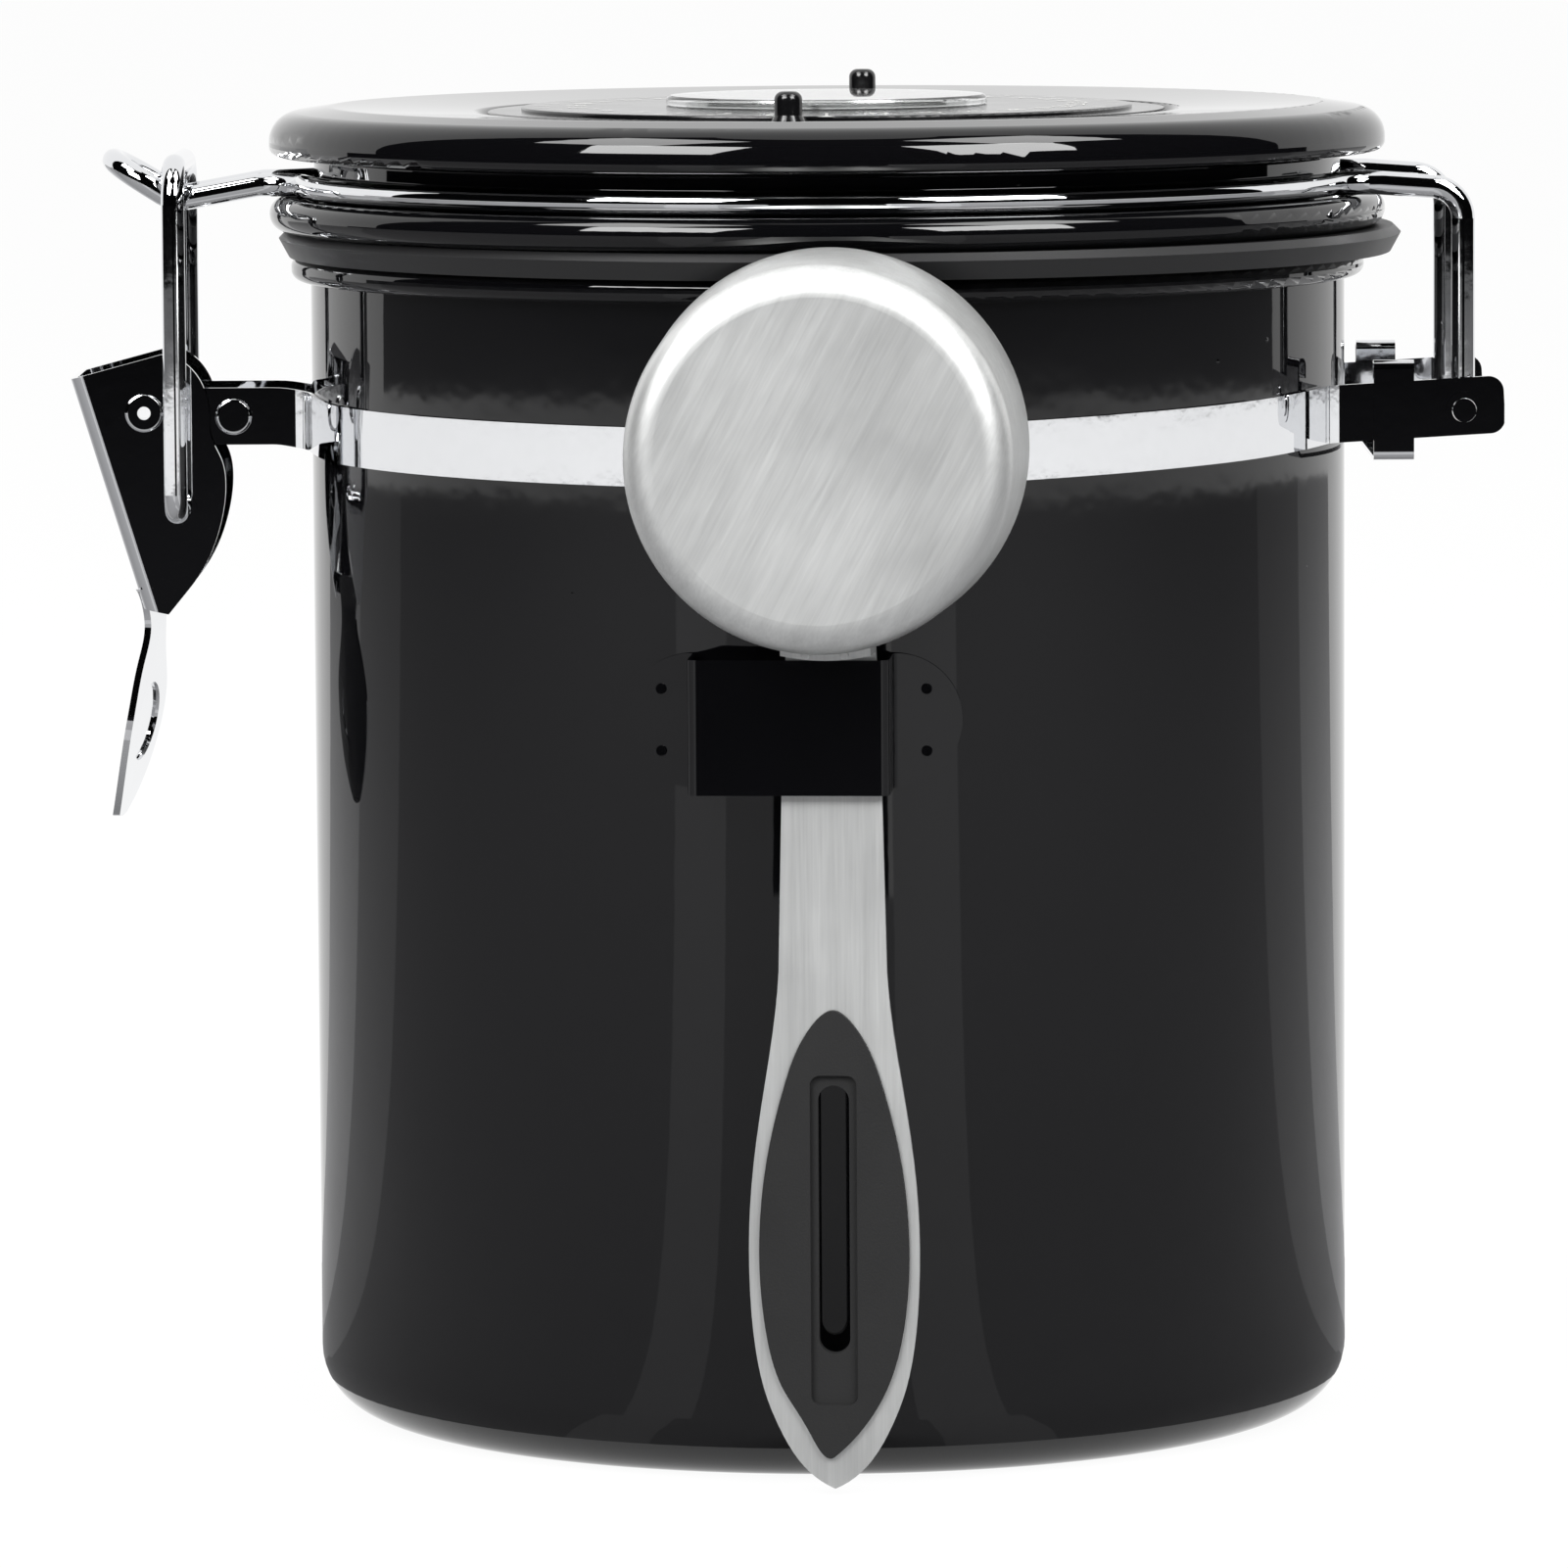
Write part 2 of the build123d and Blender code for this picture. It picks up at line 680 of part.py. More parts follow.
# Date dial: a stepped disc that turns on the hub
dial_crown_radius = dial_radius - dial_land
with BuildPart() as date_dial:
    with Locations((0, 0, dial_bottom)):
        Cylinder(dial_radius, dial_land_thickness, align=upward)
    with Locations((0, 0, dial_land_top)):
        Cylinder(dial_crown_radius, dial_raise, align=upward)
    rims = date_dial.edges().filter_by(GeomType.CIRCLE)
    fillet(rims.filter_by_position(Axis.Z, dial_top - touch_gap, dial_top + touch_gap), dial_edge)
    rims = date_dial.edges().filter_by(GeomType.CIRCLE).sort_by(SortBy.RADIUS)
    fillet(rims[-2:].sort_by(Axis.Z)[-1], dial_edge)
    with Locations((0, 0, dial_bottom)):
        Cylinder(hub_radius + pin_gap, 3 * dial_land_thickness + 3 * dial_raise, mode=Mode.SUBTRACT)
date_dial.part.label = "date_dial"
export_step(date_dial.part, "parts/date_dial.step")

# Two finger pegs on the dial's land, opposite each other
peg_ring = dial_radius - dial_land / 2
with BuildPart() as dial_pegs:
    with PolarLocations(peg_ring, 2, start_angle=peg_angle):
        with Locations((0, 0, dial_land_top)):
            Cone(peg_foot_radius, peg_radius, peg_foot_height, align=upward)
            Cylinder(peg_radius, peg_height, align=upward)
    fillet(dial_pegs.edges().group_by(Axis.Z)[-1], peg_rounding)
dial_pegs.part.label = "dial_pegs"
export_step(dial_pegs.part, "parts/dial_pegs.step")

# Latch lever: two cheeks on a sloping web, drawn in to a waist and a thumb tongue
lever_left = pin_x - lever_outward
lever_width = lever_outward + lever_inward
lever_waist = pin_z - lever_below
lever_height = lever_above + lever_below
cheek_edge_shares = [
    (0.591, 1.0),
    (0.769, 0.955),
    (0.866, 0.87),
    (0.898, 0.77),
    (0.905, 0.69),
    (0.972, 0.6),
    (1.0, 0.49),
    (0.972, 0.365),
    (0.903, 0.24),
    (0.758, 0.1),
]
web_top_shares = (0.0, 0.906)
web_foot_shares = (0.457, 0.02)
waist_shares = (0.62, 0.0)
tongue_line_shares = [
    (0.49, 0.14),
    (0.502, 0.0),
    (0.503, -0.08),
    (0.478, -0.24),
    (0.455, -0.4),
    (0.42, -0.55),
    (0.365, -0.73),
    (0.298, -0.9),
    (0.247, -1.0),
]
tongue_outline_shares = [
    (0.47, 0.12),
    (0.28, 0.0),
    (0.25, -0.08),
    (0.36, -0.24),
    (0.485, -0.4),
    (0.5, -0.55),
    (0.42, -0.73),
    (0.25, -0.9),
    (0.12, -0.985),
]


def lever_spot(shares, height=lever_height):
    """A point of the lever's side view, from shares of its width and of a height."""
    return (lever_left + shares[0] * lever_width, lever_waist + shares[1] * height)


web_top = lever_spot(web_top_shares)
web_foot = lever_spot(web_foot_shares)
web_lean = atan2(web_top[1] - web_foot[1], web_foot[0] - web_top[0])
web_shift = lever_sheet / sin(web_lean)
skew_direction = (sin(radians(tongue_skew)), cos(radians(tongue_skew)), 0)

with BuildPart() as tongue_dimple:
    with BuildSketch(Plane.XZ.move(Location((lever_sheet - dimple_depth, 0, 0)))):
        with BuildLine() as dimple_floor:
            Spline(*[lever_spot(shares, tongue_length) for shares in tongue_line_shares])
        trace(dimple_floor.edges(), lever_sheet)
    extrude(amount=tongue_width, both=True, dir=skew_direction)
    with BuildSketch(Plane.YZ.offset(lever_left - cut_overrun)):
        with Locations((0, lever_waist - tongue_length + dimple_above_tip)):
            Ellipse(dimple_width / 2, dimple_height / 2)
    extrude(amount=lever_width + 2 * cut_overrun, mode=Mode.INTERSECT)

with BuildPart() as tongue:
    with BuildSketch(Plane.XZ):
        with BuildLine() as tongue_line:
            Spline(*[lever_spot(shares, tongue_length) for shares in tongue_line_shares])
        trace(tongue_line.edges(), lever_sheet)
    extrude(amount=tongue_width, both=True, dir=skew_direction)
    with BuildSketch(Plane.YZ.offset(lever_left - cut_overrun)):
        with BuildLine():
            rear_points = [
                (tongue_width * across, lever_waist + tongue_length * up)
                for across, up in tongue_outline_shares
            ]
            rear_flank = Spline(*rear_points)
            front_flank = Spline(*[(-y, z) for y, z in rear_points])
            ThreePointArc(rear_flank @ 1, (0, lever_waist - tongue_length), front_flank @ 1)
            Line(rear_flank @ 0, front_flank @ 0)
        make_face()
    extrude(amount=lever_width + 2 * cut_overrun, mode=Mode.INTERSECT)
    add(tongue_dimple.part, mode=Mode.SUBTRACT)

web_direction = Axis((web_top[0], 0, web_top[1]), (web_foot[0] - web_top[0], 0, web_foot[1] - web_top[1]))
with BuildPart() as lever_hollow:
    with BuildSketch(Plane.XZ):
        with BuildLine():
            Polyline(
                (web_foot[0] + web_shift, web_foot[1] - cut_overrun),
                (web_foot[0] + web_shift, web_foot[1]),
                (web_top[0] + web_shift, web_top[1]),
                (web_top[0] + web_shift, pin_z + lever_above + cut_overrun),
                (pin_x + lever_inward + cut_overrun, pin_z + lever_above + cut_overrun),
                (pin_x + lever_inward + cut_overrun, web_foot[1] - cut_overrun),
                close=True,
            )
        make_face()
    extrude(amount=lever_inner_half, both=True)
    fillet(lever_hollow.edges().filter_by(web_direction), lever_fold - lever_sheet)

with BuildPart() as latch_lever:
    with BuildSketch(Plane.XZ):
        with BuildLine():
            edge = Spline(*[lever_spot(shares) for shares in cheek_edge_shares])
            Polyline(edge @ 1, lever_spot(waist_shares), web_foot, web_top, edge @ 0)
        make_face()
    extrude(amount=cheek_outer, both=True)
    fillet(latch_lever.edges().filter_by(web_direction), lever_fold)
    for side in (-1, 1):
        with BuildSketch(Plane((bail_pivot_x, side * cheek_outer, bail_pivot_z), z_dir=(0, side, 0))):
            Circle(wire_radius + pin_gap + bail_collar_width)
        extrude(amount=bail_collar_height)
    add(lever_hollow.part, mode=Mode.SUBTRACT)
    cheek_cut = lever_sheet + 2 * bail_collar_height + 2 * cut_overrun
    for side in (-1, 1):
        with Locations(Plane((pin_x, side * cheek_outer, pin_z), z_dir=(0, 1, 0))):
            Cylinder(lever_pin_radius + pin_gap, cheek_cut, mode=Mode.SUBTRACT)
        with Locations(Plane((bail_pivot_x, side * cheek_outer, bail_pivot_z), z_dir=(0, 1, 0))):
            Cylinder(wire_radius + pin_gap, cheek_cut, mode=Mode.SUBTRACT)
    add(tongue.part)
latch_lever.part.label = "latch_lever"
export_step(latch_lever.part, "parts/latch_lever.step")

# Bail: the wire loop that pulls the lid down
bail_end = lever_inner_half - bail_end_inside
bail_offset = cheek_outer + bail_side_gap + wire_radius
bail_top = nose_valley_z + wire_diameter + bail_top_gap
with BuildPart() as latch_bail:
    with BuildLine() as bail_route:
        FilletPolyline(
            (bail_pivot_x, -bail_end, bail_pivot_z),
            (bail_pivot_x, -bail_offset, bail_pivot_z),
            (bail_pivot_x, -bail_offset, bail_top),
            (bail_pivot_x, bail_offset, bail_top),
            (bail_pivot_x, bail_offset, bail_pivot_z),
            (bail_pivot_x, bail_end, bail_pivot_z),
            radius=[bail_end_bend, bail_corner, bail_corner, bail_end_bend],
        )
    bail_wire = bail_route.wires()[0]
    with BuildSketch(Plane(bail_wire @ 0, z_dir=bail_wire % 0)):
        Circle(wire_radius)
    sweep(path=bail_wire)
latch_bail.part.label = "latch_bail"
export_step(latch_bail.part, "parts/latch_bail.step")

# Scoop holder: a strap bent forward from two round ears that are welded to the body
holder = Plane.XY.rotated((0, 0, holder_angle))
holder_front = Plane(origin=(0, 0, 0), x_dir=holder.x_dir, z_dir=-holder.y_dir)
inlay_front_y = handle_back_y - handle_sheet - inlay_proud
strap_y = inlay_front_y - strap_clearance - holder_sheet / 2
strap_x = leaf_half + holder_play / 2 + holder_sheet / 2
strap_top = bowl_centre_z - bowl_radius - touch_gap - tab_thickness - seat_clearance
strap_bottom = strap_top - holder_height
strap_middle = (strap_top + strap_bottom) / 2
ear_ring = body_radius + touch_gap + holder_sheet / 2
ear_middle_x = strap_x + holder_ear_length / 2
ear_end_x = strap_x + holder_ear_length
ear_lean = asin(ear_middle_x / ear_ring)


def ear_depth(x):
    """How far the holder's ears lie in front of the body's axis, at a distance from its middle."""
    return (x * sin(ear_lean) - ear_ring) / cos(ear_lean)


with BuildPart() as scoop_holder:
    with BuildSketch(Plane(origin=(0, 0, strap_bottom), x_dir=holder.x_dir, z_dir=(0, 0, 1))):
        with BuildLine() as strap_route:
            FilletPolyline(
                (-ear_end_x, ear_depth(ear_end_x)),
                (-strap_x, ear_depth(strap_x)),
                (-strap_x, strap_y),
                (strap_x, strap_y),
                (strap_x, ear_depth(strap_x)),
                (ear_end_x, ear_depth(ear_end_x)),
                radius=holder_fold,
            )
        trace(strap_route.edges(), holder_sheet)
    extrude(amount=holder_height)
    with BuildSketch(holder_front):
        with Locations((0, strap_middle)):
            SlotOverall(2 * ear_end_x, holder_height)
    extrude(amount=-strap_y + cut_overrun, mode=Mode.INTERSECT)
    weld_face = holder_front.offset(ear_ring * cos(ear_lean) + holder_sheet / 2)
    with BuildSketch(weld_face.offset(-weld_height)):
        with Locations((0, strap_middle)):
            with GridLocations(2 * ear_middle_x, 2 * weld_spread, 2, 2):
                Circle(weld_radius)
    extrude(amount=2 * weld_height)
scoop_holder.part.label = "scoop_holder"
export_step(scoop_holder.part, "parts/scoop_holder.step")

# Scoop bowl: a drawn cup whose mouth faces the body
bowl_origin = holder_front.offset(-bowl_mouth_y).from_local_coords((scoop_offset, bowl_centre_z, 0))
bowl_plane = Plane(origin=bowl_origin, x_dir=holder.x_dir, z_dir=(0, 0, 1))
bowl_axis = Axis(bowl_origin, -holder.y_dir)
inner_base = bowl_base_radius - bowl_wall
with BuildPart() as scoop_bowl:
    with BuildSketch(bowl_plane):
        with BuildLine():
            Polyline(
                (bowl_radius, 0),
                (bowl_base_radius, -bowl_depth),
                (0, -bowl_depth),
                (0, bowl_wall - bowl_depth),
                (inner_base, bowl_wall - bowl_depth),
                (bowl_radius - bowl_wall, 0),
                close=True,
            )
        make_face()
    revolve(axis=bowl_axis)
    fillet(scoop_bowl.edges().filter_by(GeomType.CIRCLE).group_by(bowl_axis)[-1], bowl_corner)
    inner_rings = scoop_bowl.edges().filter_by(
        lambda ring: ring.geom_type == GeomType.CIRCLE and abs(ring.radius - inner_base) < touch_gap
    )
    fillet(inner_rings, bowl_corner - bowl_wall)
scoop_bowl.part.label = "scoop_bowl"
export_step(scoop_bowl.part, "parts/scoop_bowl.step")

# Scoop handle: a flat strip with a leaf shaped grip, and a tab that hugs the bowl from below
handle_plane = holder_front.offset(-handle_back_y)
handle_top_z = bowl_centre_z - bowl_radius - touch_gap
grip_shares = [
    (0.0, 0.0),
    (0.4, 0.049),
    (0.655, 0.117),
    (0.825, 0.187),
    (0.925, 0.26),
    (1.0, 0.398),
    (1.0, 0.512),
    (0.955, 0.615),
    (0.838, 0.753),
    (0.725, 0.867),
    (0.637, 1.0),
]
inlay_half = leaf_half - inlay_border
inlay_shares = [
    (0.0, 0.0),
    (0.36, 0.06),
    (0.72, 0.16),
    (0.94, 0.3),
    (1.0, 0.5),
    (0.88, 0.68),
    (0.64, 0.84),
    (0.33, 0.955),
    (0.0, 1.0),
]


def inlay_outline(margin):
    """Points round the inlay's leaf shape, with a margin added on every side."""
    bottom_z = handle_tip_z + inlay_tip_gap - margin
    right = [
        ((inlay_half + margin) * across, bottom_z + (inlay_length + 2 * margin) * up)
        for across, up in inlay_shares
    ]
    left = [(-x, z) for x, z in reversed(right[1:-1])]
    return right + left


tab_inner = bowl_radius + touch_gap
tab_outer = tab_inner + tab_thickness
tab_start = handle_back_y - bowl_mouth_y
tab_end = tab_start - tab_length
tab_taper = (bowl_radius - bowl_base_radius) * -tab_end / bowl_depth
with BuildPart() as handle_tab:
    with BuildSketch(bowl_plane):
        with BuildLine():
            Polyline(
                (tab_inner, tab_start),
                (tab_outer, tab_start),
                (tab_outer - tab_taper, tab_end),
                (tab_inner - tab_taper, tab_end),
                close=True,
            )
        make_face()
    revolve(axis=bowl_axis)
    with BuildSketch(handle_plane):
        with Locations((scoop_offset, handle_top_z)):
            Rectangle(2 * neck_half, bowl_radius)
    extrude(amount=tab_length + cut_overrun, mode=Mode.INTERSECT)

with BuildPart() as scoop_handle:
    with BuildSketch(handle_plane):
        with BuildLine():
            right_points = [
                (scoop_offset + leaf_half * across, handle_tip_z + grip_length * up)
                for across, up in grip_shares
            ]
            right_edge = Spline(*right_points)
            left_edge = Spline(*[(2 * scoop_offset - x, z) for x, z in right_points])
            Polyline(
                right_edge @ 1,
                (scoop_offset + shank_half, strap_middle),
                (scoop_offset + neck_half, handle_top_z),
                (scoop_offset - neck_half, handle_top_z),
                (scoop_offset - shank_half, strap_middle),
                left_edge @ 1,
            )
        make_face()
        with BuildLine():
            Spline(*[(scoop_offset + x, z) for x, z in inlay_outline(touch_gap)], periodic=True)
        make_face(mode=Mode.SUBTRACT)
    extrude(amount=handle_sheet)
    add(handle_tab.part)
scoop_handle.part.label = "scoop_handle"
export_step(scoop_handle.part, "parts/scoop_handle.step")

# Inlay: a rubber leaf that fills the grip, with a long recess and a hanging slot
recess_middle_z = handle_tip_z + recess_tip_gap + recess_length / 2
slot_middle_z = handle_tip_z + slot_tip_gap + slot_length / 2
with BuildPart() as handle_inlay:
    with BuildSketch(handle_plane.offset(-inlay_proud)):
        with BuildLine():
            Spline(*[(scoop_offset + x, z) for x, z in inlay_outline(0)], periodic=True)
        make_face()
    extrude(amount=handle_sheet + 2 * inlay_proud)
    with BuildSketch(handle_plane.offset(handle_sheet + inlay_proud)):
        with Locations((scoop_offset, recess_middle_z)):
            RectangleRounded(recess_width, recess_length, recess_corner)
    extrude(amount=-recess_depth, mode=Mode.SUBTRACT)
    with BuildSketch(handle_plane.offset(-inlay_proud)):
        with Locations((scoop_offset, slot_middle_z)):
            SlotOverall(slot_length, slot_width, rotation=90)
    extrude(amount=handle_sheet + 2 * inlay_proud, mode=Mode.SUBTRACT)
handle_inlay.part.label = "handle_inlay"
export_step(handle_inlay.part, "parts/handle_inlay.step")

# Spot welds on the tab's front edge
tab_front = handle_plane.offset(tab_length)
weld_z = handle_top_z - tab_thickness / 2 + tab_taper
with BuildPart() as scoop_welds:
    with BuildSketch(tab_front):
        with Locations((scoop_offset - tab_weld_spacing, weld_z), (scoop_offset + tab_weld_spacing, weld_z)):
            Circle(tab_weld_radius)
    extrude(amount=tab_weld_height)
    fillet(scoop_welds.edges().group_by(Axis((0, 0, 0), -holder.y_dir))[-1], tab_weld_height / 2)
scoop_welds.part.label = "scoop_welds"
export_step(scoop_welds.part, "parts/scoop_welds.step")
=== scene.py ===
"""Finishes, printed dial, light and camera for the coffee canister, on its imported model."""

from math import cos, pi, radians, sin

import bmesh
import bpy
from mathutils import Euler, Matrix, Vector


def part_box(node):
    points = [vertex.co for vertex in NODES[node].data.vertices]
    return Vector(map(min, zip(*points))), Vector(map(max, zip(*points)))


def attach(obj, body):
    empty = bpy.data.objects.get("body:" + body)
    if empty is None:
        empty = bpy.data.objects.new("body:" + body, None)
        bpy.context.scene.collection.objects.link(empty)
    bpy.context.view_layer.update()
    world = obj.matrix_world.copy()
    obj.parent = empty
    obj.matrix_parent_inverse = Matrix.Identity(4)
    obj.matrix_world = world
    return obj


bl_info = {
    "name": "Coffee Canister",
    "version": (1, 0, 0),
    "blender": (4, 5, 0),
    "location": "View3D > Sidebar > Canister",
    "description": "Finishes a coffee canister and sets it on a pale table",
    "category": "Object",
}

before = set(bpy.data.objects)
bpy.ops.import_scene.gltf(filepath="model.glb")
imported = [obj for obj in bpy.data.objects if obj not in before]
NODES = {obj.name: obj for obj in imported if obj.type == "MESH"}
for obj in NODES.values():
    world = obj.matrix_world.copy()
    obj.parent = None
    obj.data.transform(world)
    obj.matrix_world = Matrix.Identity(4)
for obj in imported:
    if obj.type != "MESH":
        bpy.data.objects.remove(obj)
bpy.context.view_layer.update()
MM = 0.001

DIAL_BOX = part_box("date_dial")
COVER_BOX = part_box("lid_cover")

# Size of the font over the height of its figures, and the steps of each of its curves
FONT_SHARE = 1.35
FONT_STEPS = 4

# Scale of a wave texture whose waves are one unit apart
WAVE_SCALE = 2 * pi / 20

# Turn of the scoop's grain about the line of sight, from upright
BOWL_GRAIN = radians(28)
HANDLE_GRAIN = 0.0

WHITE = (1.0, 1.0, 1.0, 1.0)

# Strengths of the light that the room gives, and of the white background that is seen and mirrored
ROOM_STRENGTH = 0.55
BACKGROUND_STRENGTH = 1.0

# Share of white in the table as it is seen: the rest is its paint, with the canister's shadow
TABLE_GLOW = 0.95

# The softboxes, one of each on either side: name, degrees from the camera's side, then height,
# distance and width in metres, and power in watts
SOFTBOXES = (
    ("softbox", 38, 1.15, 1.5, 0.9, 33.0),
    ("softbox_high", 62, 1.75, 0.95, 0.8, 14.0),
)

# Height that the softboxes face, in metres
SOFTBOX_AIM = 0.08

# The flags lie just over the table, and their arcs are made of this many runs
FLAG_LIFT = 0.3 * MM
FLAG_STEPS = 24

# Tones of the flags' felt
FELTS = {"black": "#0a0a0b", "grey": "#6f6f70", "middle": "#858586", "light": "#a2a2a3"}

# Spots where flags start and end: distance from the canister's axis and height, in metres
BODY_FOOT = (0.0635, 0.0)
STRIP_START = (0.65, 0.0)
GAP_START = (1.56, 0.0)
GAP_END = (1.95, 0.0)
STRIP_END = (2.6, 0.0)
WALL_FOOT = (5.0, 0.0)
WALL_TOP = (5.0, 6.0)
CEILING_END = (1.2, 6.0)

# The flags that the enamel and the chrome mirror: greys round the canister, a black strip towards the
# camera, a gap of white table, and a black floor, wall and ceiling behind the camera. Each row has the
# tone, the spots, and the start and the end in degrees from the camera's side, to the right
FLAGS = (
    ("light", BODY_FOOT, GAP_START, -146, -126),
    ("middle", BODY_FOOT, GAP_START, -126, -108),
    ("grey", BODY_FOOT, GAP_START, -108, -33),
    ("middle", BODY_FOOT, GAP_START, -33, -22),
    ("grey", BODY_FOOT, STRIP_START, -22, 13),
    ("grey", STRIP_START, GAP_START, -22, -12),
    ("black", STRIP_START, STRIP_END, -12, 12),
    ("middle", BODY_FOOT, GAP_START, 13, 27),
    ("grey", BODY_FOOT, GAP_START, 27, 108),
    ("middle", BODY_FOOT, GAP_START, 108, 126),
    ("light", BODY_FOOT, GAP_START, 126, 146),
    ("grey", GAP_END, STRIP_END, -115, -12),
    ("grey", GAP_END, STRIP_END, 12, 115),
    ("black", STRIP_END, WALL_FOOT, -115, 115),
    ("black", WALL_FOOT, WALL_TOP, -105, 105),
    ("black", WALL_TOP, CEILING_END, -105, 105),
)


def linear(hex_colour):
    """The linear colour, with alpha, of an sRGB hex value."""
    channels = [int(hex_colour[i : i + 2], 16) / 255 for i in (1, 3, 5)]
    return [c / 12.92 if c <= 0.04045 else ((c + 0.055) / 1.055) ** 2.4 for c in channels] + [1.0]


def colour_property(name, hex_colour, description):
    """A colour that a user can change."""
    return bpy.props.FloatVectorProperty(
        name=name,
        description=description,
        subtype="COLOR",
        size=4,
        min=0.0,
        max=1.0,
        default=linear(hex_colour),
    )


def length_property(name, millimetres, description):
    """A length that a user can change, with its default in millimetres."""
    return bpy.props.FloatProperty(
        name=name, description=description, subtype="DISTANCE", unit="LENGTH", default=millimetres * MM
    )


def angle_property(name, degrees, description):
    """An angle that a user can change, with its default in degrees."""
    return bpy.props.FloatProperty(
        name=name, description=description, subtype="ANGLE", unit="ROTATION", default=radians(degrees)
    )


class CanisterColours(bpy.types.PropertyGroup):
    """Colours of the canister's materials and of the table."""

    enamel: colour_property("Enamel", "#050506", "Glossy coat of the can, the lid and the scoop's holder")
    chrome: colour_property("Chrome", "#e6e7e9", "Plated wire, band and latch")
    steel: colour_property("Steel", "#dfe0df", "Brushed scoop and the turned plate over the valve")
    rubber: colour_property("Rubber", "#080809", "Inlay of the scoop's handle")
    silicone: colour_property("Silicone", "#161617", "Gasket, valve flap and seal")
    plastic: colour_property("Plastic", "#0b0b0c", "Date dial and valve")
    print_ink: colour_property("Print", "#c9c9c6", "Numbers and marks of the date dial, and its pointer")
    paper: colour_property("Filter paper", "#e4e0d4", "Filter under the valve")
    acrylic: colour_property("Acrylic", "#f7f8f8", "Clear lens over the valve")
    backdrop: colour_property("Backdrop", "#f2f2f1", "Paint of the table")


class CanisterSizes(bpy.types.PropertyGroup):
    """Sizes of the print on the dial and beside it."""

    number_height: length_property("Number height", 2.6, "Height of the dial's numbers")
    number_ring: length_property("Number ring", 30.5, "Radius of the ring that the numbers stand on")
    tick_ring: length_property("Tick ring", 34.6, "Radius of the middle of the dial's marks")
    tick_length: length_property("Tick length", 1.8, "Length of a mark")
    tick_width: length_property("Tick width", 0.35, "Width of a mark")
    ink_thickness: length_property("Ink thickness", 0.03, "How far the print stands off the surface")
    pointer_gap: length_property("Pointer gap", 4.2, "From the dial's edge to the pointer's middle")
    pointer_length: length_property("Pointer length", 3.4, "Length of the oval that its corners lie on")
    pointer_width: length_property("Pointer width", 2.6, "Width of the oval that its corners lie on")
    days: bpy.props.IntProperty(name="Days", description="Highest number on the dial", default=31, min=2)


class CanisterStage(bpy.types.PropertyGroup):
    """Camera and table."""

    camera_distance: length_property("Camera distance", 1212.5, "From the camera to the canister's axis")
    camera_height: length_property("Camera height", 202.4, "Above the table")
    sensor: bpy.props.FloatProperty(
        name="Sensor", description="Width of the camera's sensor", unit="CAMERA", default=36.0
    )
    lens: bpy.props.FloatProperty(
        name="Lens", description="Focal length of the camera", unit="CAMERA", default=229.9
    )
    pitch: angle_property("Pitch", 5.98, "How far the camera looks down")
    yaw: angle_property("Yaw", 0.267, "How far the camera looks to the left")
    roll: angle_property("Roll", 0.355, "Clockwise turn of the camera")
    camera_reach: length_property("Camera reach", 100000.0, "How far the camera sees")
    table_size: length_property("Table size", 24000.0, "Width and depth of the table")


def add_node(tree, kind, inputs=None, **settings):
    """Add a node to a tree, with its settings, and set or link its inputs."""
    made = tree.nodes.new(kind)
    for name, value in settings.items():
        setattr(made, name, value)
    for key, value in (inputs or {}).items():
        if isinstance(value, bpy.types.NodeSocket):
            tree.links.new(value, made.inputs[key])
        else:
            made.inputs[key].default_value = value
    return made


def start_material(name):
    """A new material, its empty tree, and the coordinates of the object that has it."""
    material = bpy.data.materials.new(name)
    material.use_nodes = True
    tree = material.node_tree
    tree.nodes.clear()
    return material, tree, add_node(tree, "ShaderNodeTexCoord").outputs["Object"]


def per_mm(size):
    """A texture's scale for a feature of this size in millimetres."""
    return 1.0 / (size * MM)


def colour_range(tree, factor, colour, change):
    """A colour that goes from a darker to a lighter tone of itself, as a factor goes from 0 to 1."""
    darker = [max(0.0, channel * (1 - change)) for channel in colour[:3]] + [1.0]
    lighter = [min(1.0, channel * (1 + change)) for channel in colour[:3]] + [1.0]
    return add_node(tree, "ShaderNodeMix", {0: factor, 6: darker, 7: lighter}, data_type="RGBA").outputs[2]


